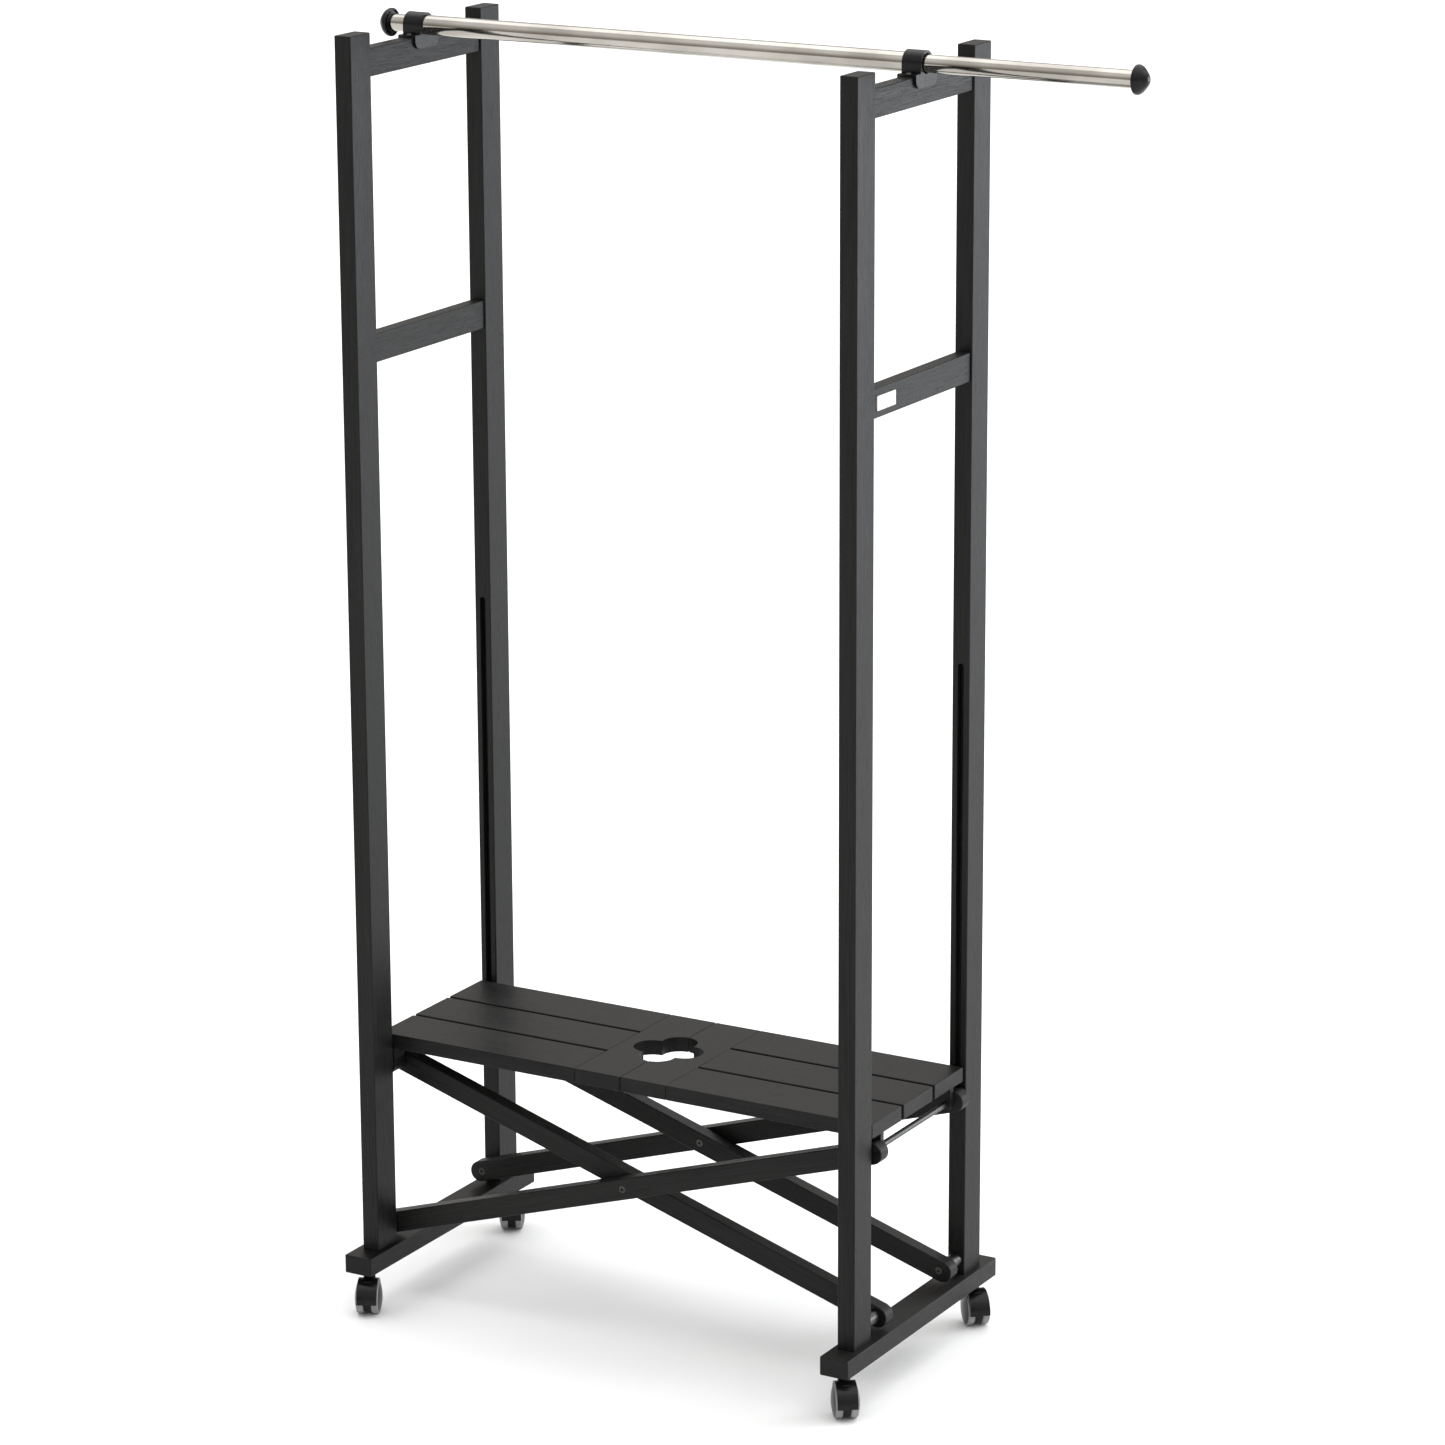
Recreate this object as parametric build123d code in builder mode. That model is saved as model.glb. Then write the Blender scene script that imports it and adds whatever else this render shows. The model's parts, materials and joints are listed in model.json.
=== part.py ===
from build123d import *
import os
from math import atan2, cos, degrees, hypot, radians, sin

os.makedirs("parts", exist_ok=True)

# Folding clothes rack on casters. X runs along the hanging tube, Y is the depth
# and Z is up. The floor is Z = 0 and the frames are symmetric about Y = 0.
# All sizes are in millimetres.

# ---- ladder frames -------------------------------------------------------
frame_spacing = 711.4  # between the centre planes of the two frames
frame_depth = 345.0  # over the outer faces of the front and back uprights
upright_thickness = 24.0
upright_depth = 45.0
upright_length = 1600.0
rail_thickness = 19.0
top_rail_height = 36.0
top_rail_drop = 20.0  # the rail's top below the uprights' tops
middle_rail_height = 37.0
middle_rail_drop = 381.0
foot_width = 40.0
foot_height = 25.0
foot_length = 408.0
edge_round = 1.5

rail_tenon_thickness = 8.0
rail_tenon_length = 15.0
rail_tenon_shoulder = 5.0  # the tenon is this much lower than the rail, top and bottom
upright_tenon_thickness = 12.0
upright_tenon_depth = 33.0
upright_tenon_length = 15.0

# ---- casters -------------------------------------------------------------
caster_height = 57.0  # floor to the underside of the foot rail
caster_inset = 27.0  # swivel axis to the end of the foot rail
caster_trail = 12.0  # swivel axis to wheel axle
wheel_radius = 21.5
wheel_inner_face = 5.3  # from the caster's middle plane
wheel_tread_edge = 14.5
wheel_dome_edge = 18.0
tread_chamfer = 1.2
wheel_axle_radius = 3.0
wheel_axle_reach = 12.0
hood_inner_radius = 22.3
hood_outer_radius = 26.0
hood_half_width = 13.2
hood_web_half_width = 4.9
hood_web_radius = 20.0
hood_neck_radius = 8.0
stem_radius = 4.0
stem_in_foot = 20.0
stem_in_neck = 11.0
stem_gap = 0.4  # neck to foot rail
hood_skirt_angle = 4.0  # of the hood's edges below the axle

# ---- scissor arms and rods -----------------------------------------------
pivot_height = 20.5  # lower pivots above the top of the foot rail
rod_height = 243.5  # rods above the top of the foot rail, rack open
arm_width = 28.0
arm_thickness = 20.0
arm_lower_overhang = 4.0  # pivot to the centre of the rounded end
arm_upper_overhang = 8.0  # rod to the centre of the rounded end
outer_arm_gap = 7.0  # upright to outer arm
arm_to_arm_gap = 2.0
rod_radius = 4.0
groove_width = 8.6
groove_depth = 10.0
groove_top = 820.0  # above the top of the foot rail
rod_end_play = 1.0
bolt_radius = 3.0
bolt_head_radius = 5.0
bolt_head_thickness = 2.0
bolt_recess_radius = 5.5
bolt_recess_depth = 2.5
bolt_head_sink = 0.2
bolt_in_upright = 24.0
bolt_socket_radius = 2.25
bolt_socket_depth = 1.8
rod_end_chamfer = 0.8
pivot_spacer_radius = 9.0
washer_radius = 10.0

# ---- shelf ---------------------------------------------------------------
shelf_top_height = 286.5  # above the top of the foot rail
shelf_thickness = 20.0
shelf_width = 247.2
shelf_end_overhang = 10.2  # past the frames' centre planes
slat_gap = 5.0
cross_board_width = 68.0
centre_gap = 0.6
tongue_length = 8.0
tongue_thickness = 7.0
tongue_side_margin = 8.0
handle_lobe_radius = 24.0
handle_lobe_offset_x = 25.0
handle_lobe_offset_y = 28.0
handle_core_radius = 20.0
batten_size = (20.0, 12.0, 150.0)
shelf_edge_round = 1.5
batten_inset = 50.0  # rod to batten
block_half_width = 13.0
block_length = 24.0
block_side_gap = 2.0  # block or seat to upright or arm
seat_half_width = 9.0
seat_length = 8.0
seat_lip_drop = 8.0  # of the seats' outer lips below the rod's axis
hinge_knuckle_radius = 3.0
hinge_pin_radius = 1.5
hinge_leaf_length = 40.0
hinge_leaf_reach = 22.0
hinge_leaf_thickness = 1.5
hinge_offset_y = 90.0

# ---- hanging tube --------------------------------------------------------
tube_radius = 12.5
tube_bore_radius = 11.1
inner_tube_radius = 11.0
inner_tube_wall = 1.2
tube_above_rail = 13.8  # tube axis above the top rail
tube_end_past_frame = 5.0
left_tube_showing = 25.5  # left clip to left knob
right_tube_showing = 276.6  # right clip to right knob
left_inner_reach = 281.5  # inner end of the left inner tube past the left frame
right_inner_overlap = 56.0  # of the right inner tube in the outer tube
knob_radius = 18.0
knob_depth = 17.0
knob_socket = 10.0
knob_rim = 3.5
knob_rim_round = 1.0
knob_cone_radius = 11.2  # of the cap where its cone starts to round over
knob_cone_depth = 11.6
knob_recess_radii = (13.5, 16.2)
knob_recess_depth = 2.2

# ---- rail clips ----------------------------------------------------------
clip_width = 26.0
clip_base_length = 54.0
clip_base_thickness = 3.0
clip_ring_radius = 15.75
clip_ear_drop = 14.5
clip_ear_round = 11.0
clip_screw_spread = 21.5
clip_screw_radius = 1.75
clip_screw_head_radius = 3.8
clip_screw_head_height = 1.8
clip_screw_head_taper = 30.0
clip_screw_length = 16.0
clip_slide_gap = 0.1  # radial, between the right clip and the tube

# ---- name plate, left blank ----------------------------------------------
plate_length = 47.0
plate_height = 18.0
plate_thickness = 1.2
plate_corner_round = 1.2
plate_edge_round = 0.3
plate_inset = 10.0  # from the front upright
plate_below_rail_top = 10.0

# ---- clearances ----------------------------------------------------------
running = 0.08  # radial, shaft in hole on different bodies
free_gap = 0.3  # face to face on different bodies

# ---- places worked out from the sizes above ------------------------------
foot_top = caster_height + foot_height
left_end = -(clip_width / 2 + left_tube_showing + knob_depth)
right_end = frame_spacing + clip_width / 2 + right_tube_showing + knob_depth
left_x = -(left_end + right_end) / 2
right_x = left_x + frame_spacing
centre_x = (left_x + right_x) / 2
outer_y = frame_depth / 2
inner_y = outer_y - upright_depth
upright_top = foot_top + upright_length
top_rail_top = upright_top - top_rail_drop
middle_rail_top = upright_top - middle_rail_drop
stem_y = foot_length / 2 - caster_inset

pivot_z = foot_top + pivot_height
rod_z = foot_top + rod_height
arm_rise = rod_z - pivot_z
arm_length = hypot(frame_spacing, arm_rise)
arm_angle = atan2(arm_rise, frame_spacing)
outer_arm_inner_y = inner_y - outer_arm_gap - arm_thickness
inner_arm_inner_y = outer_arm_inner_y - arm_to_arm_gap - arm_thickness
inner_arm_outer_y = inner_arm_inner_y + arm_thickness
outer_arm_outer_y = outer_arm_inner_y + arm_thickness

shelf_top = foot_top + shelf_top_height
shelf_under = shelf_top - shelf_thickness
slat_width = (shelf_width - 2 * slat_gap) / 3
hinge_z = shelf_under - hinge_knuckle_radius - free_gap
tube_z = top_rail_top + tube_above_rail
wheel_z = wheel_radius

ends = {"left": left_x, "right": right_x}
sides = {"front": -1, "back": 1}


def save(piece, name):
    piece.part.label = name
    export_step(piece.part, f"parts/{name}.step")


def facing(x, y, z, side):
    """Plane whose normal points along Y, outward on that side of the rack, with its own X upward."""
    return Plane(origin=(x, y, z), x_dir=(0, 0, 1), z_dir=(0, side, 0))


# ==== ladder frames =======================================================
def make_upright(end, side_name):
    x = ends[end]
    side = sides[side_name]
    inner_face_y = side * inner_y
    groove_bottom_z = rod_z - groove_width / 2
    groove_length = foot_top + groove_top - groove_bottom_z
    rails = [(top_rail_top, top_rail_height), (middle_rail_top, middle_rail_height)]
    with BuildPart() as upright:
        with BuildSketch(Plane.XY.offset(foot_top)):
            with Locations((x, side * (outer_y - upright_depth / 2))):
                Rectangle(upright_thickness, upright_depth)
        extrude(amount=upright_length)
        top_edges = upright.faces().sort_by(Axis.Z)[-1].edges()
        fillet(upright.edges().filter_by(Axis.Z) + top_edges, radius=edge_round)
        with BuildSketch(Plane.XY.offset(foot_top)):
            with Locations((x, side * (outer_y - upright_depth / 2))):
                Rectangle(upright_tenon_thickness, upright_tenon_depth)
        extrude(amount=-upright_tenon_length)
        with BuildSketch(facing(x, inner_face_y, groove_bottom_z + groove_length / 2, side)):
            SlotOverall(groove_length, groove_width)
        extrude(amount=groove_depth, mode=Mode.SUBTRACT)
        for rail_top, rail_height in rails:
            with BuildSketch(facing(x, inner_face_y, rail_top - rail_height / 2, side)):
                Rectangle(rail_height - 2 * rail_tenon_shoulder, rail_tenon_thickness)
            extrude(amount=rail_tenon_length, mode=Mode.SUBTRACT)
        with BuildSketch(facing(x, inner_face_y, pivot_z, side)):
            Circle(bolt_radius)
        extrude(amount=bolt_in_upright, mode=Mode.SUBTRACT)
    save(upright, f"upright_{side_name}_{end}")


def make_rail(name, x, rail_top, rail_height, screw_spots=()):
    tenon_size = (rail_tenon_thickness, rail_height - 2 * rail_tenon_shoulder)
    with BuildPart() as rail:
        with BuildSketch(Plane.XY.offset(rail_top - rail_height)):
            with Locations((x, 0)):
                Rectangle(rail_thickness, 2 * inner_y)
        extrude(amount=rail_height)
        fillet(rail.edges().filter_by(Axis.Y), radius=edge_round)
        for side in sides.values():
            with BuildSketch(facing(x, side * inner_y, rail_top - rail_height / 2, side)):
                Rectangle(tenon_size[1], tenon_size[0])
            extrude(amount=rail_tenon_length)
        for y in screw_spots:
            with BuildSketch(Plane.XY.offset(rail_top)):
                with Locations((x, y)):
                    Circle(clip_screw_radius)
            extrude(amount=-clip_screw_length, mode=Mode.SUBTRACT)
    save(rail, name)


def make_foot(end):
    x = ends[end]
    with BuildPart() as foot:
        with BuildSketch(Plane.XY.offset(caster_height)):
            with Locations((x, 0)):
                Rectangle(foot_width, foot_length)
        extrude(amount=foot_height)
        fillet(foot.edges(), radius=edge_round)
        with BuildSketch(Plane.XY.offset(foot_top)):
            for side in sides.values():
                with Locations((x, side * (outer_y - upright_depth / 2))):
                    Rectangle(upright_tenon_thickness, upright_tenon_depth)
        extrude(amount=-upright_tenon_length, mode=Mode.SUBTRACT)
        with BuildSketch(Plane.XY.offset(caster_height)):
            with Locations((x, -stem_y), (x, stem_y)):
                Circle(stem_radius)
        extrude(amount=stem_in_foot, mode=Mode.SUBTRACT)
    save(foot, f"foot_rail_{end}")


# ==== scissor =============================================================
def make_arm(name, end, side_name, inner_face, hole_radii, centre_recess_outside):
    """A wooden arm from the lower pivot on one frame up to the rod at the other.

    hole_radii are for the lower pivot, the centre pivot and the rod."""
    side = sides[side_name]
    toward = 1 if end == "left" else -1
    run = Vector(toward * cos(arm_angle), 0, sin(arm_angle))
    plane = Plane(origin=(ends[end], side * inner_face, pivot_z), x_dir=run, z_dir=(0, side, 0))
    shape_length = arm_length + arm_lower_overhang + arm_upper_overhang
    shape_middle = (arm_length + arm_upper_overhang - arm_lower_overhang) / 2
    hole_places = [0, arm_length / 2, arm_length]
    with BuildPart() as arm:
        with BuildSketch(plane):
            with Locations((shape_middle, 0)):
                SlotCenterToCenter(shape_length, arm_width)
        extrude(amount=arm_thickness)
        faces = arm.faces().sort_by(Axis.Y)
        fillet(faces[0].edges() + faces[-1].edges(), radius=edge_round)
        for place, radius in zip(hole_places, hole_radii):
            with BuildSketch(plane):
                with Locations((place, 0)):
                    Circle(radius)
            extrude(amount=arm_thickness, mode=Mode.SUBTRACT)
        with BuildSketch(plane):
            Circle(bolt_recess_radius)
        extrude(amount=bolt_recess_depth, mode=Mode.SUBTRACT)
        centre_plane = plane.offset(arm_thickness) if centre_recess_outside else plane
        centre_depth = -bolt_recess_depth if centre_recess_outside else bolt_recess_depth
        with BuildSketch(centre_plane):
            with Locations((arm_length / 2, 0)):
                Circle(bolt_recess_radius)
        extrude(amount=centre_depth, mode=Mode.SUBTRACT)
    save(arm, name)


def disc_along_y(x, z, near, far, side, radius, mode=Mode.ADD):
    """Extrudes a disc about an axis along Y between two distances from the rack's middle plane."""
    with BuildSketch(facing(x, side * near, z, side)) as disc:
        Circle(radius)
    extrude(disc.sketch, amount=far - near, mode=mode)


def make_lower_bolts(end, arm_inner_face):
    head_near = arm_inner_face + bolt_head_sink
    head_far = head_near + bolt_head_thickness
    with BuildPart() as bolts:
        for side in sides.values():
            disc_along_y(ends[end], pivot_z, head_near, head_far, side, bolt_head_radius)
            disc_along_y(ends[end], pivot_z, head_far, inner_y + bolt_in_upright, side, bolt_radius)
            socket = facing(ends[end], side * head_near, pivot_z, side)
            with BuildSketch(socket):
                RegularPolygon(radius=bolt_socket_radius, side_count=6)
            extrude(amount=bolt_socket_depth, mode=Mode.SUBTRACT)
    save(bolts, f"pivot_bolts_{end}")


def make_pivot_spacers(end, arm_outer_face):
    with BuildPart() as spacers:
        for side in sides.values():
            near = arm_outer_face + free_gap
            disc_along_y(ends[end], pivot_z, near, inner_y, side, pivot_spacer_radius)
            disc_along_y(ends[end], pivot_z, near, inner_y, side, bolt_radius, Mode.SUBTRACT)
    save(spacers, f"pivot_spacers_{end}")


def make_centre_bolts():
    z = (pivot_z + rod_z) / 2
    outer_head_far = outer_arm_outer_y - bolt_head_sink
    shank_far = outer_arm_outer_y - bolt_recess_depth
    inner_head_near = inner_arm_inner_y + bolt_head_sink
    inner_head_far = inner_head_near + bolt_head_thickness
    with BuildPart() as bolts:
        for side in sides.values():
            disc_along_y(centre_x, z, shank_far, outer_head_far, side, bolt_head_radius)
            disc_along_y(centre_x, z, inner_head_far, shank_far, side, bolt_radius)
            disc_along_y(centre_x, z, inner_head_near, inner_head_far, side, bolt_head_radius)
            sockets = [(outer_head_far, -bolt_socket_depth), (inner_head_near, bolt_socket_depth)]
            for y, depth in sockets:
                with BuildSketch(facing(centre_x, side * y, z, side)):
                    RegularPolygon(radius=bolt_socket_radius, side_count=6)
                extrude(amount=depth, mode=Mode.SUBTRACT)
    save(bolts, "centre_bolts")


def make_arm_washers():
    z = (pivot_z + rod_z) / 2
    near = inner_arm_outer_y + free_gap
    with BuildPart() as washers:
        for side in sides.values():
            disc_along_y(centre_x, z, near, outer_arm_inner_y, side, washer_radius)
            disc_along_y(centre_x, z, near, outer_arm_inner_y, side, bolt_radius, Mode.SUBTRACT)
    save(washers, "arm_washers")


def make_rod(end):
    half_length = inner_y + groove_depth - rod_end_play
    with BuildPart() as rod:
        with BuildSketch(facing(ends[end], -half_length, rod_z, 1)):
            Circle(rod_radius)
        extrude(amount=2 * half_length)
        chamfer(rod.edges().filter_by(GeomType.CIRCLE), length=rod_end_chamfer)
    save(rod, f"cross_rod_{end}")


# ==== shelf ===============================================================
def shelf_box(x_low, x_high, y_low, y_high):
    with BuildSketch(Plane.XY.offset(shelf_under)) as outline:
        with Locations(((x_low + x_high) / 2, (y_low + y_high) / 2)):
            Rectangle(x_high - x_low, y_high - y_low)
    extrude(outline.sketch, amount=shelf_thickness)


def make_slat(end, row, y_low):
    """One of three slats of a half; its tongue is glued into the cross board."""
    outward = -1 if end == "left" else 1
    outer_edge = ends[end] + outward * shelf_end_overhang
    inner_edge = centre_x + outward * cross_board_width
    x_low, x_high = sorted((outer_edge, inner_edge))
    y_high = y_low + slat_width
    with BuildPart() as slat:
        shelf_box(x_low, x_high, y_low, y_high)
        fillet(slat.edges(), radius=shelf_edge_round)
        tongue_plane = Plane(
            origin=(inner_edge, (y_low + y_high) / 2, shelf_under + shelf_thickness / 2),
            x_dir=(0, 1, 0),
            z_dir=(-outward, 0, 0),
        )
        with BuildSketch(tongue_plane):
            Rectangle(slat_width - 2 * tongue_side_margin, tongue_thickness)
        extrude(amount=tongue_length)
    save(slat, f"slat_{row}_{end}")


def slat_rows():
    rows = ("front", "middle", "back")
    return {row: -shelf_width / 2 + i * (slat_width + slat_gap) for i, row in enumerate(rows)}


def make_cross_board(end):
    """The board beside the centre line, with half of the cloverleaf handle hole."""
    outward = -1 if end == "left" else 1
    near_edge = centre_x + outward * centre_gap / 2
    far_edge = centre_x + outward * cross_board_width
    x_low, x_high = sorted((near_edge, far_edge))
    with BuildPart() as board:
        shelf_box(x_low, x_high, -shelf_width / 2, shelf_width / 2)
        fillet(board.edges(), radius=shelf_edge_round)
        with BuildSketch(Plane.XY.offset(shelf_under)):
            for step in (-1, 1):
                lobe_x = centre_x + step * handle_lobe_offset_x
                with Locations((lobe_x, 0), (centre_x, step * handle_lobe_offset_y)):
                    Circle(handle_lobe_radius)
            with Locations((centre_x, 0)):
                Circle(handle_core_radius)
        extrude(amount=shelf_thickness, mode=Mode.SUBTRACT)
        for y_low in slat_rows().values():
            groove_plane = Plane(
                origin=(far_edge, y_low + slat_width / 2, shelf_under + shelf_thickness / 2),
                x_dir=(0, 1, 0),
                z_dir=(-outward, 0, 0),
            )
            with BuildSketch(groove_plane):
                Rectangle(slat_width - 2 * tongue_side_margin, tongue_thickness)
            extrude(amount=tongue_length, mode=Mode.SUBTRACT)
    save(board, f"cross_board_{end}")


def make_batten(end):
    """Holds the slats' outer ends together from below, between the inner arms."""
    inward = 1 if end == "left" else -1
    with BuildPart() as batten:
        with BuildSketch(Plane.XY.offset(shelf_under - batten_size[1])):
            with Locations((ends[end] + inward * batten_inset, 0)):
                Rectangle(batten_size[0], batten_size[2])
        extrude(amount=batten_size[1])
        fillet(batten.edges().filter_by(Axis.Y), radius=edge_round)
    save(batten, f"shelf_batten_{end}")


def make_rod_blocks():
    """Bearing blocks under the left half, which turn on the left rod."""
    near = inner_y - block_side_gap - block_length
    rise = shelf_under - rod_z
    with BuildPart() as blocks:
        for side in sides.values():
            with BuildSketch(facing(left_x, side * near, rod_z, side)):
                Circle(block_half_width)
                with Locations((rise / 2, 0)):
                    Rectangle(rise, 2 * block_half_width)
            extrude(amount=block_length)
            bore = rod_radius + running
            disc_along_y(left_x, rod_z, near, near + block_length, side, bore, Mode.SUBTRACT)
    save(blocks, "rod_blocks_left")


def make_rod_seats():
    """Seats under the right half: closed above and outside the rod, open inward and downward."""
    near = outer_arm_inner_y - block_side_gap - seat_length
    rise = shelf_under - rod_z
    clear = rod_radius + free_gap
    diagonal = clear * cos(radians(45))
    with BuildPart() as seats:
        for side in sides.values():
            # The section's first coordinate is up from the rod, its second out along X times side.
            outer_edge = side * seat_half_width
            lip = (-seat_lip_drop, side * clear)
            with BuildSketch(facing(right_x, side * near, rod_z, side)):
                with BuildLine():
                    Polyline((clear, 0), (clear, -outer_edge), (rise, -outer_edge))
                    Polyline((rise, -outer_edge), (rise, outer_edge), (0, outer_edge))
                    TangentArc((0, outer_edge), lip, tangent=(-1, 0))
                    Line(lip, (0, side * clear))
                    ThreePointArc((0, side * clear), (diagonal, side * diagonal), (clear, 0))
                make_face()
            extrude(amount=seat_length)
    save(seats, "rod_seats_right")


def knuckle(y_low, y_high, radius, mode=Mode.ADD):
    with BuildSketch(facing(centre_x, y_low, hinge_z, 1)) as disc:
        Circle(radius)
    extrude(disc.sketch, amount=y_high - y_low, mode=mode)


def make_hinge_leaves(end):
    """Leaves under the cross boards. The left ones carry the outer knuckles and the pins."""
    outward = -1 if end == "left" else 1
    third = hinge_leaf_length / 3
    clear = hinge_knuckle_radius + 2 * free_gap
    with BuildPart() as leaves:
        for side in sides.values():
            y_mid = side * hinge_offset_y
            y_low = y_mid - hinge_leaf_length / 2
            y_high = y_mid + hinge_leaf_length / 2
            outer = [(y_low, y_low + third), (y_high - third, y_high)]
            middle = [(y_low + third + free_gap, y_high - third - free_gap)]
            segments = outer if end == "left" else middle
            plate_middle = centre_x + outward * (clear + hinge_leaf_reach) / 2
            link_middle = centre_x + outward * (clear / 2 + free_gap)
            with BuildSketch(Plane.XY.offset(shelf_under - hinge_leaf_thickness)):
                with Locations((plate_middle, y_mid)):
                    Rectangle(hinge_leaf_reach - clear, hinge_leaf_length)
                for low, high in segments:
                    with Locations((link_middle, (low + high) / 2)):
                        Rectangle(clear, high - low)
            extrude(amount=hinge_leaf_thickness)
            for low, high in segments:
                knuckle(low, high, hinge_knuckle_radius)
            if end == "left":
                knuckle(y_low, y_high, hinge_pin_radius)
            else:
                knuckle(y_low, y_high, hinge_pin_radius + running, Mode.SUBTRACT)
    save(leaves, f"hinge_leaves_{end}")


# ==== hanging tube ========================================================
def pipe_along_x(x_low, x_high, radius, bore):
    with BuildSketch(Plane.YZ.offset(x_low)) as ring:
        with Locations((0, tube_z)):
            Circle(radius)
            Circle(bore, mode=Mode.SUBTRACT)
    extrude(ring.sketch, amount=x_high - x_low)


def make_outer_tube():
    x_low = left_x - tube_end_past_frame
    x_high = right_x + tube_end_past_frame
    with BuildPart() as tube:
        pipe_along_x(x_low, x_high, tube_radius, tube_bore_radius)
    save(tube, "outer_tube")


def knob_face(end):
    if end == "left":
        return left_x - clip_width / 2 - left_tube_showing
    return right_x + clip_width / 2 + right_tube_showing


def make_inner_tube(end):
    if end == "left":
        x_low = knob_face(end) - knob_socket
        x_high = left_x + left_inner_reach
    else:
        x_low = right_x + tube_end_past_frame - right_inner_overlap
        x_high = knob_face(end) + knob_socket
    with BuildPart() as tube:
        pipe_along_x(x_low, x_high, inner_tube_radius, inner_tube_radius - inner_tube_wall)
    save(tube, f"inner_tube_{end}")


def make_knob(end):
    """A mushroom cap: thin rim, rounded cone, and a socket for the tube's end."""
    outward = -1 if end == "left" else 1
    inner_face = Plane(origin=(knob_face(end), 0, tube_z), x_dir=(0, 1, 0), z_dir=(outward, 0, 0))
    section_plane = Plane(origin=inner_face.origin, x_dir=(0, 1, 0), z_dir=(0, 0, -outward))
    recess_inner, recess_outer = knob_recess_radii
    with BuildPart() as knob:
        with BuildSketch(section_plane):
            with BuildLine():
                Line((0, 0), (knob_radius - knob_rim_round, 0))
                rim_start = (knob_radius - knob_rim_round, 0)
                RadiusArc(rim_start, (knob_radius, knob_rim_round), -knob_rim_round)
                Line((knob_radius, knob_rim_round), (knob_radius, knob_rim))
                Spline(
                    (knob_radius, knob_rim),
                    (knob_cone_radius, knob_cone_depth),
                    (0, knob_depth),
                    tangents=[(-0.35, 1), (-1, 0)],
                )
                Line((0, knob_depth), (0, 0))
            make_face()
        revolve(axis=Axis(inner_face.origin, inner_face.z_dir))
        with BuildSketch(inner_face):
            Circle(inner_tube_radius)
        extrude(amount=knob_socket, mode=Mode.SUBTRACT)
        with BuildSketch(inner_face):
            Circle(recess_outer)
            Circle(recess_inner, mode=Mode.SUBTRACT)
        extrude(amount=knob_recess_depth, mode=Mode.SUBTRACT)
    save(knob, f"knob_{end}")


def make_clip(end):
    """Saddle clip: a base with two ears over the top rail and a closed ring for the tube."""
    x = ends[end]
    grip = tube_radius if end == "left" else tube_radius + clip_slide_gap
    face_x = x - clip_width / 2
    ear_thickness = (clip_width - rail_thickness) / 2
    with BuildPart() as clip:
        with BuildSketch(Plane.YZ.offset(face_x)):
            with Locations((0, tube_z)):
                Circle(clip_ring_radius)
            with Locations((0, (top_rail_top + tube_z) / 2)):
                Rectangle(2 * clip_ring_radius, tube_z - top_rail_top)
            with Locations((0, top_rail_top + clip_base_thickness / 2)):
                Rectangle(clip_base_length, clip_base_thickness)
            with Locations((0, top_rail_top - clip_ring_radius)):
                Rectangle(4 * clip_ring_radius, 2 * clip_ring_radius, mode=Mode.SUBTRACT)
        extrude(amount=clip_width)
        for ear_x in (face_x, x + rail_thickness / 2):
            with BuildSketch(Plane.YZ.offset(ear_x)):
                with Locations((0, top_rail_top - clip_ear_drop / 2)):
                    Rectangle(clip_base_length, clip_ear_drop)
            extrude(amount=ear_thickness)
        low_corners = clip.edges().filter_by(Axis.X).group_by(Axis.Z)[0]
        fillet(low_corners, radius=clip_ear_round)
        with BuildSketch(Plane.YZ.offset(face_x)):
            with Locations((0, tube_z)):
                Circle(grip)
        extrude(amount=clip_width, mode=Mode.SUBTRACT)
        with BuildSketch(Plane.XY.offset(top_rail_top)):
            with Locations((x, -clip_screw_spread), (x, clip_screw_spread)):
                Circle(clip_screw_radius)
        extrude(amount=clip_base_thickness, mode=Mode.SUBTRACT)
    save(clip, f"rail_clip_{end}")


def make_clip_screws(end):
    top = top_rail_top + clip_base_thickness
    spots = [(ends[end], -clip_screw_spread), (ends[end], clip_screw_spread)]
    with BuildPart() as screws:
        with BuildSketch(Plane.XY.offset(top)):
            with Locations(*spots):
                Circle(clip_screw_radius)
        extrude(amount=-(clip_base_thickness + clip_screw_length))
        with BuildSketch(Plane.XY.offset(top)):
            with Locations(*spots):
                Circle(clip_screw_head_radius)
        extrude(amount=clip_screw_head_height, taper=clip_screw_head_taper)
    save(screws, f"clip_screws_{end}")


def make_plate():
    y_low = -inner_y + plate_inset
    z_high = middle_rail_top - plate_below_rail_top
    with BuildPart() as plate:
        with BuildSketch(Plane.YZ.offset(right_x + rail_thickness / 2)):
            with Locations((y_low + plate_length / 2, z_high - plate_height / 2)):
                RectangleRounded(plate_length, plate_height, plate_corner_round)
        extrude(amount=plate_thickness)
        fillet(plate.faces().sort_by(Axis.X)[-1].edges(), radius=plate_edge_round)
    save(plate, "blank_plate")


# ==== casters =============================================================
# Direction of each caster's trail in plan, in degrees from -Y towards +X.
trail_angles = {"front_left": 26, "front_right": 37, "back_left": 30, "back_right": 43}


def caster_plane(corner):
    """A caster's own frame: origin on the floor under the wheel axle, X along the trail, Z up."""
    side_name, end = corner.split("_")
    angle = radians(trail_angles[corner])
    trail = Vector(sin(angle), -cos(angle), 0)
    stem = Vector(ends[end], sides[side_name] * stem_y, 0)
    return Plane(origin=stem + trail * caster_trail, x_dir=trail, z_dir=(0, 0, 1))


def axle_plane(frame, offset):
    """Plane across the axle at a distance along it, its own X along the trail and Y down."""
    across = frame.y_dir
    origin = frame.origin + across * offset + Vector(0, 0, wheel_z)
    return Plane(origin=origin, x_dir=frame.x_dir, z_dir=across)


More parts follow.
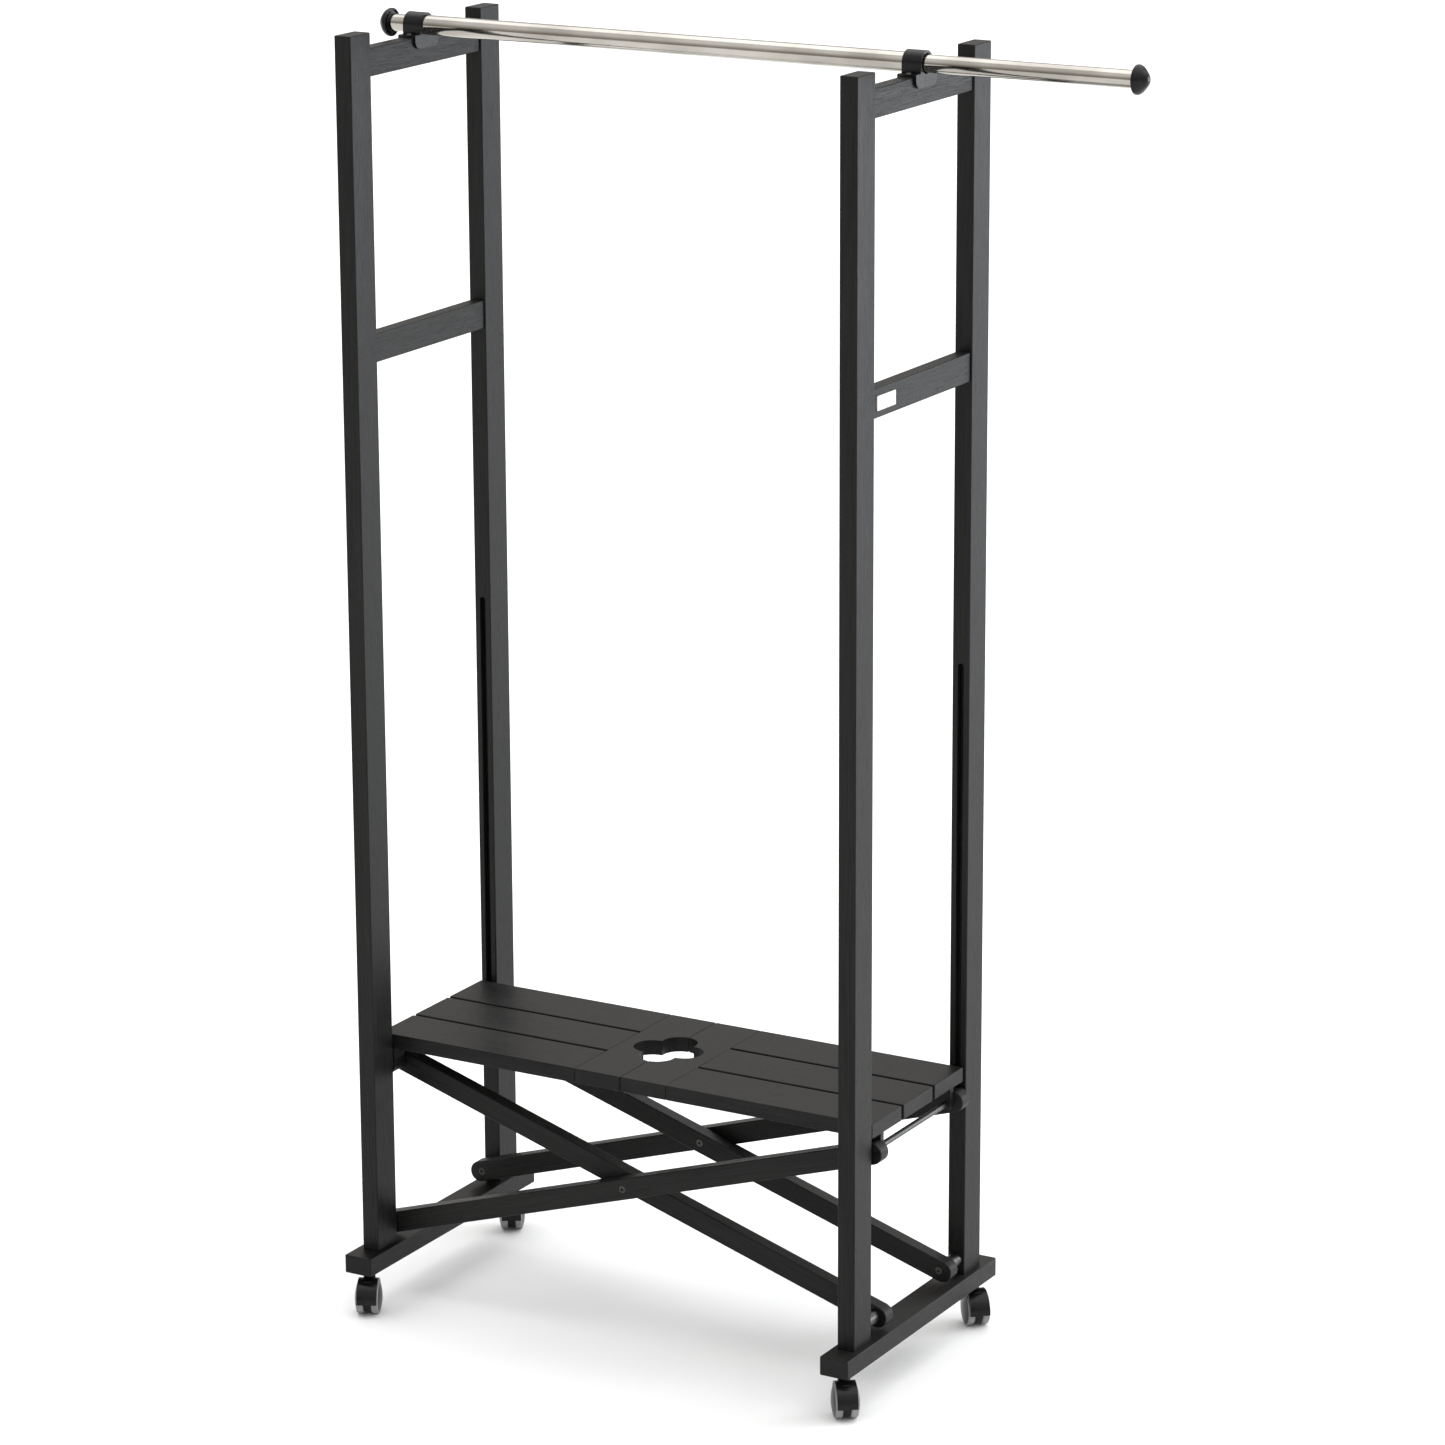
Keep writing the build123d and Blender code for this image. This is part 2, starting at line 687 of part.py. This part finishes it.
def make_hood(corner):
    """Hood over both treads, middle web with two moulded axle stubs, and the neck on the stem."""
    frame = caster_plane(corner)
    stem_origin = frame.origin - frame.x_dir * caster_trail
    neck_plane = Plane(origin=stem_origin + Vector(0, 0, wheel_z + wheel_radius))
    neck_height = caster_height - stem_gap - wheel_z - wheel_radius
    skirt_drop = hood_outer_radius * sin(radians(hood_skirt_angle))
    with BuildPart() as hood:
        with BuildSketch(axle_plane(frame, -hood_half_width)):
            Circle(hood_outer_radius)
            Circle(hood_inner_radius, mode=Mode.SUBTRACT)
            with Locations((0, hood_outer_radius / 2 + skirt_drop)):
                Rectangle(4 * hood_outer_radius, hood_outer_radius, mode=Mode.SUBTRACT)
        extrude(amount=2 * hood_half_width)
        with BuildSketch(neck_plane):
            Circle(hood_neck_radius)
        extrude(amount=neck_height)
        with BuildSketch(axle_plane(frame, -hood_web_half_width)):
            Circle(hood_web_radius)
            with Locations((0, -hood_web_radius)):
                Rectangle(hood_web_radius, hood_web_radius / 2)
        extrude(amount=2 * hood_web_half_width)
        with BuildSketch(axle_plane(frame, -wheel_axle_reach)):
            Circle(wheel_axle_radius)
        extrude(amount=2 * wheel_axle_reach)
        with BuildSketch(neck_plane.offset(neck_height)):
            Circle(stem_radius + running)
        extrude(amount=-stem_in_neck - free_gap, mode=Mode.SUBTRACT)
    save(hood, f"caster_hood_{corner}")


def make_wheel(corner, hand):
    """A wheel with a flat tread, a domed outer face and a blind bore for the axle stub."""
    frame = caster_plane(corner)
    sign = 1 if hand == "a" else -1
    side_plane = Plane(
        origin=frame.origin + Vector(0, 0, wheel_z),
        x_dir=frame.y_dir * sign,
        z_dir=frame.x_dir * sign,
    )
    bore = wheel_axle_radius + running
    bore_end = wheel_axle_reach + free_gap
    shoulder = wheel_radius - tread_chamfer
    dome_rise = wheel_dome_edge - wheel_tread_edge
    dome_radius = (shoulder**2 + dome_rise**2) / (2 * dome_rise)
    with BuildPart() as wheel:
        with BuildSketch(side_plane):
            with BuildLine():
                Polyline(
                    (bore_end, 0),
                    (bore_end, bore),
                    (wheel_inner_face, bore),
                    (wheel_inner_face, shoulder),
                    (wheel_inner_face + tread_chamfer, wheel_radius),
                    (wheel_tread_edge - tread_chamfer, wheel_radius),
                    (wheel_tread_edge, shoulder),
                )
                RadiusArc((wheel_tread_edge, shoulder), (wheel_dome_edge, 0), dome_radius)
                Line((wheel_dome_edge, 0), (bore_end, 0))
            make_face()
        revolve(axis=Axis(side_plane.origin, side_plane.x_dir))
    save(wheel, f"caster_wheel_{corner}_{hand}")


def make_stems(end):
    with BuildPart() as stems:
        with BuildSketch(Plane.XY.offset(caster_height + stem_in_foot)):
            with Locations((ends[end], -stem_y), (ends[end], stem_y)):
                Circle(stem_radius)
        extrude(amount=-(stem_in_foot + stem_gap + stem_in_neck))
    save(stems, f"caster_stems_{end}")


# ==== the whole rack ======================================================
for end in ends:
    for side_name in sides:
        make_upright(end, side_name)
    screw_spots = (-clip_screw_spread, clip_screw_spread)
    make_rail(f"top_rail_{end}", ends[end], top_rail_top, top_rail_height, screw_spots)
    make_rail(f"middle_rail_{end}", ends[end], middle_rail_top, middle_rail_height)
    make_foot(end)

turning = bolt_radius + running
outer_arm_holes = (turning, bolt_radius, rod_radius)
inner_arm_holes = (turning, turning, rod_radius)
for side_name in sides:
    make_arm(f"outer_arm_{side_name}", "left", side_name, outer_arm_inner_y, outer_arm_holes, True)
    make_arm(f"inner_arm_{side_name}", "right", side_name, inner_arm_inner_y, inner_arm_holes, False)
make_lower_bolts("left", outer_arm_inner_y)
make_lower_bolts("right", inner_arm_inner_y)
make_pivot_spacers("left", outer_arm_outer_y)
make_pivot_spacers("right", inner_arm_outer_y)
make_centre_bolts()
make_arm_washers()

for end in ends:
    make_rod(end)
    for row, y_low in slat_rows().items():
        make_slat(end, row, y_low)
    make_cross_board(end)
    make_batten(end)
    make_hinge_leaves(end)
make_rod_blocks()
make_rod_seats()

make_outer_tube()
for end in ends:
    make_inner_tube(end)
    make_knob(end)
    make_clip(end)
    make_clip_screws(end)
    make_stems(end)
make_plate()

for corner in trail_angles:
    make_hood(corner)
    for hand in ("a", "b"):
        make_wheel(corner, hand)
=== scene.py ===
"""Looks for the folding clothes rack: materials, studio floor, light and camera around the CAD frame.

All lengths are in metres. Every piece of the rack is rigid wood, steel or plastic, so the CAD nodes
stay as they are and only get their materials here."""

import json
import math

import bpy
from mathutils import Matrix, Vector

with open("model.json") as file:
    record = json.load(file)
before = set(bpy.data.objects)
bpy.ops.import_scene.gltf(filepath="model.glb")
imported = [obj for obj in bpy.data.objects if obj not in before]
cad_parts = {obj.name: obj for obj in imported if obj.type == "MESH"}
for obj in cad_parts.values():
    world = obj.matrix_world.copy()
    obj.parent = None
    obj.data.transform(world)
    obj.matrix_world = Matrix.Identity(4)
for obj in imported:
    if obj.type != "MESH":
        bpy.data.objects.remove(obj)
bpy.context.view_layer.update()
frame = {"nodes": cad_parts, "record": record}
nodes = frame["nodes"]
joints = {joint["name"]: joint for joint in frame["record"]["behaviour"]["joints"]}
scene = bpy.context.scene
scene.view_settings.view_transform = "Standard"

QUARTER_TURN = math.radians(90)
WHITE = (1, 1, 1, 1)
TYRE_EDGE = 0.0147  # from a caster's middle plane to where its tyre ends and the cap starts
CAP_BLEND = 0.0002

FLOOR_HALF_SIZE = 30.0
SUN_ENERGY = 1.9
SUN_ANGLE = math.radians(85)
SUN_DIRECTION = (-0.08, -0.28, -1.0)
HORIZON_COLOUR = (0.46, 0.425, 0.385, 1)
HORIZON_HEIGHT = 0.18  # sine of the elevation where the horizon's colour ends
OVERHEAD_COLOUR = (1.15, 1.15, 1.15, 1)
OVERHEAD_HEIGHT = 0.62

CAMERA_PLACE = (3.1062, -5.4827, 2.5753)
CAMERA_YAW = math.radians(29.87)
CAMERA_PITCH_DOWN = math.radians(15.52)
CAMERA_ROLL = math.radians(-0.25)
CAMERA_LENS = 129.1  # millimetres, on a sensor 36 wide
CAMERA_SENSOR = 36
CAMERA_CLIP_END = 200


# ---- materials -------------------------------------------------------------
class Graph:
    """A new material with short calls for adding and joining its nodes."""

    def __init__(self, name):
        self.material = bpy.data.materials.new(name)
        self.material.use_nodes = True
        self.tree = self.material.node_tree
        self.shader = self.tree.nodes["Principled BSDF"]

    def add(self, kind, inputs=(), **settings):
        node = self.tree.nodes.new(kind)
        for key, value in settings.items():
            setattr(node, key, value)
        for key, value in dict(inputs).items():
            self.feed(node, key, value)
        return node

    def feed(self, node, key, value):
        if isinstance(value, bpy.types.NodeSocket):
            self.tree.links.new(value, node.inputs[key])
        else:
            node.inputs[key].default_value = value

    def set(self, **values):
        for key, value in values.items():
            self.feed(self.shader, key.replace("_", " "), value)

    def object_point(self):
        return self.add("ShaderNodeTexCoord").outputs["Object"]

    def place(self, rotation=(0, 0, 0), scale=(1, 1, 1)):
        """The object's own coordinates, turned first and then scaled."""
        turned = self.add("ShaderNodeMapping", {"Vector": self.object_point(), "Rotation": rotation})
        sized = {"Vector": turned.outputs["Vector"], "Scale": scale}
        return self.add("ShaderNodeMapping", sized).outputs["Vector"]

    def noise(self, where, scale, detail=4.0, roughness=0.5):
        inputs = {"Vector": where, "Scale": scale, "Detail": detail, "Roughness": roughness}
        return self.add("ShaderNodeTexNoise", inputs).outputs["Fac"]

    def fine_noise(self, frequency, detail):
        """Noise with the same frequency, in cycles per metre, in all directions."""
        return self.noise(self.place(scale=(frequency, frequency, frequency)), 1.0, detail)

    def ramp(self, value, low, high, out_low, out_high):
        inputs = {"Value": value, "From Min": low, "From Max": high, "To Min": out_low, "To Max": out_high}
        return self.add("ShaderNodeMapRange", inputs).outputs["Result"]

    def blend(self, factor, dark, light):
        node = self.add("ShaderNodeMix", {"Factor": factor}, data_type="RGBA")
        node.inputs[6].default_value = (*dark, 1)
        node.inputs[7].default_value = (*light, 1)
        return node.outputs[2]

    def maths(self, operation, first, second):
        node = self.add("ShaderNodeMath", operation=operation)
        self.feed(node, 0, first)
        self.feed(node, 1, second)
        return node.outputs[0]

    def vector_maths(self, operation, first, second, output):
        node = self.add("ShaderNodeVectorMath", {0: first, 1: tuple(second)}, operation=operation)
        return node.outputs[output]

    def bump(self, height, distance, strength=1.0, normal=None):
        inputs = {"Height": height, "Distance": distance, "Strength": strength}
        if normal is not None:
            inputs["Normal"] = normal
        return self.add("ShaderNodeBump", inputs).outputs["Normal"]


def painted_wood(name, rotation=(0, 0, 0)):
    """Black satin paint over planed wood. The rotation lays the board's length along X."""
    g = Graph(name)
    broad = g.noise(g.place(rotation, (0.6, 9, 9)), 2.0, 3.0)
    fibre = g.noise(g.place(rotation, (14, 420, 420)), 1.0, 5.0, 0.62)
    pore = g.noise(g.place(rotation, (34, 1500, 1500)), 1.0, 2.0)
    pores = g.ramp(pore, 0.56, 0.72, 0.0, 1.0)
    orange_peel = g.noise(g.place(rotation, (220, 220, 220)), 1.0, 2.0)
    tone = g.maths("ADD", g.maths("MULTIPLY", fibre, 0.55), g.maths("MULTIPLY", broad, 0.45))
    dark, light = (0.0014, 0.0014, 0.0016), (0.0145, 0.0140, 0.0134)
    relief = g.maths("SUBTRACT", g.maths("MULTIPLY", fibre, 0.7), g.maths("MULTIPLY", pores, 0.5))
    normal = g.bump(relief, 0.00030, 0.85)
    g.set(
        Base_Color=g.blend(g.ramp(tone, 0.35, 0.68, 0.0, 1.0), dark, light),
        Roughness=g.ramp(tone, 0.35, 0.65, 0.33, 0.50),
        Normal=g.bump(orange_peel, 0.00012, 0.25, normal),
        Specular_IOR_Level=0.16,
    )
    return g.material


def polished_tube():
    """Stainless tube, polished along its length."""
    g = Graph("polished_stainless")
    lines = g.noise(g.place(scale=(9, 900, 900)), 1.0, 4.0, 0.6)
    cloud = g.noise(g.place(scale=(12, 30, 30)), 1.0, 3.0)
    dark, light = (0.33, 0.312, 0.282), (0.46, 0.438, 0.402)
    g.set(
        Base_Color=g.blend(g.ramp(cloud, 0.35, 0.65, 0, 1), dark, light),
        Metallic=1.0,
        Roughness=g.maths("ADD", g.ramp(lines, 0.3, 0.7, 0.07, 0.15), g.ramp(cloud, 0.3, 0.7, 0.0, 0.03)),
        Normal=g.bump(lines, 0.00004, 0.3),
    )
    return g.material


def metal(name, dark, light, smoothest, roughest, metallic=1.0):
    """Plated or lacquered steel with a fine grain and cloudy tone."""
    g = Graph(name)
    grain = g.fine_noise(500, 3.0)
    cloud = g.fine_noise(70, 3.0)
    g.set(
        Base_Color=g.blend(g.ramp(cloud, 0.35, 0.65, 0, 1), dark, light),
        Metallic=metallic,
        Roughness=g.ramp(grain, 0.3, 0.7, smoothest, roughest),
        Normal=g.bump(grain, 0.00004, 0.35),
    )
    return g.material


def moulded_plastic(name, dark, light, smoothest, roughest):
    """Moulded plastic with a fine spark-eroded texture."""
    g = Graph(name)
    spark = g.fine_noise(1300, 2.0)
    cloud = g.fine_noise(45, 3.0)
    g.set(
        Base_Color=g.blend(g.ramp(cloud, 0.35, 0.65, 0, 1), dark, light),
        Roughness=g.ramp(cloud, 0.3, 0.7, smoothest, roughest),
        Normal=g.bump(spark, 0.00005, 0.35),
        Specular_IOR_Level=0.19,
    )
    return g.material


def wheel_plastic(corner):
    """Grey tyre with a black outer cap: the colour changes at the tyre's outer edge, along the axle."""
    axle = joints[f"roll_{corner}_a"]
    g = Graph(f"wheel_{corner}")
    spark = g.fine_noise(1300, 2.0)
    cloud = g.fine_noise(60, 3.0)
    offset = g.vector_maths("SUBTRACT", g.object_point(), axle["pos_m"], 0)
    across = g.vector_maths("DOT_PRODUCT", offset, Vector(axle["axis"]).normalized(), "Value")
    cap = g.ramp(g.maths("ABSOLUTE", across, 0.0), TYRE_EDGE - CAP_BLEND, TYRE_EDGE, 0.0, 1.0)
    tyre = g.blend(g.ramp(cloud, 0.35, 0.65, 0, 1), (0.21, 0.21, 0.22), (0.28, 0.28, 0.29))
    colour = g.add("ShaderNodeMix", {"Factor": cap, 6: tyre}, data_type="RGBA")
    colour.inputs[7].default_value = (0.006, 0.006, 0.007, 1)
    g.set(
        Base_Color=colour.outputs[2],
        Roughness=g.ramp(cap, 0.0, 1.0, 0.5, 0.3),
        Normal=g.bump(spark, 0.00005, 0.35),
        Specular_IOR_Level=0.3,
    )
    return g.material


def arm_slope():
    """Angle of the outer arms above level, from their lower pivot to the crossing."""
    rise = Vector(joints["arm_cross"]["pos_m"]) - Vector(joints["fold"]["pos_m"])
    return math.atan2(rise.z, rise.x)


def finish_by_name():
    """The material of each kind of node, by how its name starts."""
    along_y = painted_wood("black_wood_along_y", (0, 0, QUARTER_TURN))
    stainless = polished_tube()
    dark, light = (0.0045, 0.0045, 0.0050), (0.0085, 0.0085, 0.0090)
    black_plastic = moulded_plastic("black_plastic", dark, light, 0.21, 0.33)
    dark, light = (0.014, 0.014, 0.014), (0.022, 0.021, 0.021)
    lacquered_rod = metal("black_lacquered_rod", dark, light, 0.26, 0.38, metallic=0.0)
    dark, light = (0.72, 0.70, 0.64), (0.80, 0.78, 0.72)
    cream_plastic = moulded_plastic("cream_plate", dark, light, 0.4, 0.5)
    finishes = {
        "upright": painted_wood("black_wood_along_z", (0, QUARTER_TURN, 0)),
        "slat": painted_wood("black_wood_along_x"),
        "outer_arm": painted_wood("black_wood_outer_arms", (0, arm_slope(), 0)),
        "inner_arm": painted_wood("black_wood_inner_arms", (0, -arm_slope(), 0)),
        "cross_rod": lacquered_rod,
        "blank_plate": cream_plastic,
    }
    rails = ("top_rail", "middle_rail", "foot_rail")
    for start in (*rails, "cross_board", "shelf_batten", "rod_blocks", "rod_seats"):
        finishes[start] = along_y
    for start in ("outer_tube", "inner_tube"):
        finishes[start] = stainless
    for start in ("knob", "rail_clip", "caster_hood"):
        finishes[start] = black_plastic
    for side in ("front", "back"):
        for end in ("left", "right"):
            corner = f"{side}_{end}"
            finishes[f"caster_wheel_{corner}"] = wheel_plastic(corner)
    return finishes


def dress_nodes():
    finishes = finish_by_name()
    fastener_steel = metal("black_oxide_steel", (0.045, 0.044, 0.042), (0.080, 0.078, 0.075), 0.32, 0.46)
    for name, node in nodes.items():
        matching = [finishes[start] for start in finishes if name.startswith(start)]
        node.data.materials.clear()
        node.data.materials.append(matching[0] if matching else fastener_steel)


# ---- floor -----------------------------------------------------------------
def make_floor():
    half = FLOOR_HALF_SIZE
    corners = [(-half, -half, 0), (half, -half, 0), (half, half, 0), (-half, half, 0)]
    mesh = bpy.data.meshes.new("studio_floor")
    mesh.from_pydata(corners, [], [(0, 1, 2, 3)])
    g = Graph("pale_floor")
    speckle = g.fine_noise(3, 3.0)
    colour = g.blend(speckle, (0.86, 0.86, 0.86), (0.88, 0.88, 0.88))
    g.set(Base_Color=colour, Roughness=0.7, Specular_IOR_Level=0.2)
    mesh.materials.append(g.material)
    floor = bpy.data.objects.new("studio_floor", mesh)
    scene.collection.objects.link(floor)


# ---- light -----------------------------------------------------------------
def make_world():
    """A bright ceiling over a warm grey horizon, which polished metal reflects; the backdrop is white."""
    world = bpy.data.worlds.new("studio")
    world.use_nodes = True
    sky = world.node_tree
    studio = sky.nodes["Background"]
    height = sky.nodes.new("ShaderNodeSeparateXYZ")
    bands = sky.nodes.new("ShaderNodeValToRGB")
    horizon, overhead = bands.color_ramp.elements
    horizon.position, horizon.color = HORIZON_HEIGHT, HORIZON_COLOUR
    overhead.position, overhead.color = OVERHEAD_HEIGHT, OVERHEAD_COLOUR
    backdrop = sky.nodes.new("ShaderNodeBackground")
    backdrop.inputs["Color"].default_value = WHITE
    either = sky.nodes.new("ShaderNodeMixShader")
    links = sky.links
    links.new(sky.nodes.new("ShaderNodeTexCoord").outputs["Generated"], height.inputs[0])
    links.new(height.outputs["Z"], bands.inputs["Fac"])
    links.new(bands.outputs["Color"], studio.inputs["Color"])
    links.new(sky.nodes.new("ShaderNodeLightPath").outputs["Is Camera Ray"], either.inputs[0])
    links.new(studio.outputs[0], either.inputs[1])
    links.new(backdrop.outputs[0], either.inputs[2])
    links.new(either.outputs[0], sky.nodes["World Output"].inputs["Surface"])
    scene.world = world


def link_light(name, data, direction):
    light = bpy.data.objects.new(name, data)
    light.rotation_mode = "QUATERNION"
    light.rotation_quaternion = Vector(direction).to_track_quat("-Z", "Y")
    scene.collection.objects.link(light)
    return light


def make_overhead_dome():
    data = bpy.data.lights.new("overhead_dome", "SUN")
    data.energy = SUN_ENERGY
    data.angle = SUN_ANGLE
    link_light("overhead_dome", data, SUN_DIRECTION)


def make_softbox(name, place, aim, size, power, colour):
    data = bpy.data.lights.new(name, "AREA")
    data.shape = "RECTANGLE"
    data.size, data.size_y = size
    data.energy = power
    data.color = colour
    light = link_light(name, data, Vector(aim) - Vector(place))
    light.location = place
    light.visible_camera = False


# ---- camera ----------------------------------------------------------------
def make_camera():
    forward = Vector(
        (
            -math.sin(CAMERA_YAW) * math.cos(CAMERA_PITCH_DOWN),
            math.cos(CAMERA_YAW) * math.cos(CAMERA_PITCH_DOWN),
            -math.sin(CAMERA_PITCH_DOWN),
        )
    )
    level = Vector((math.cos(CAMERA_YAW), math.sin(CAMERA_YAW), 0))
    above = level.cross(forward)
    right = level * math.cos(CAMERA_ROLL) + above * math.sin(CAMERA_ROLL)
    up = above * math.cos(CAMERA_ROLL) - level * math.sin(CAMERA_ROLL)
    data = bpy.data.cameras.new("camera")
    data.lens = CAMERA_LENS
    data.sensor_width = CAMERA_SENSOR
    data.clip_end = CAMERA_CLIP_END
    camera = bpy.data.objects.new("camera", data)
    turn = Matrix((right, up, -forward)).transposed().to_4x4()
    camera.matrix_world = Matrix.Translation(CAMERA_PLACE) @ turn
    scene.collection.objects.link(camera)
    scene.camera = camera


dress_nodes()
make_floor()
make_world()
make_overhead_dome()
make_softbox("right_back", (4.6, 4.6, 1.75), (0.0, 0.0, 1.5), (2.8, 2.6), 250, (0.88, 0.94, 1.0))
make_camera()
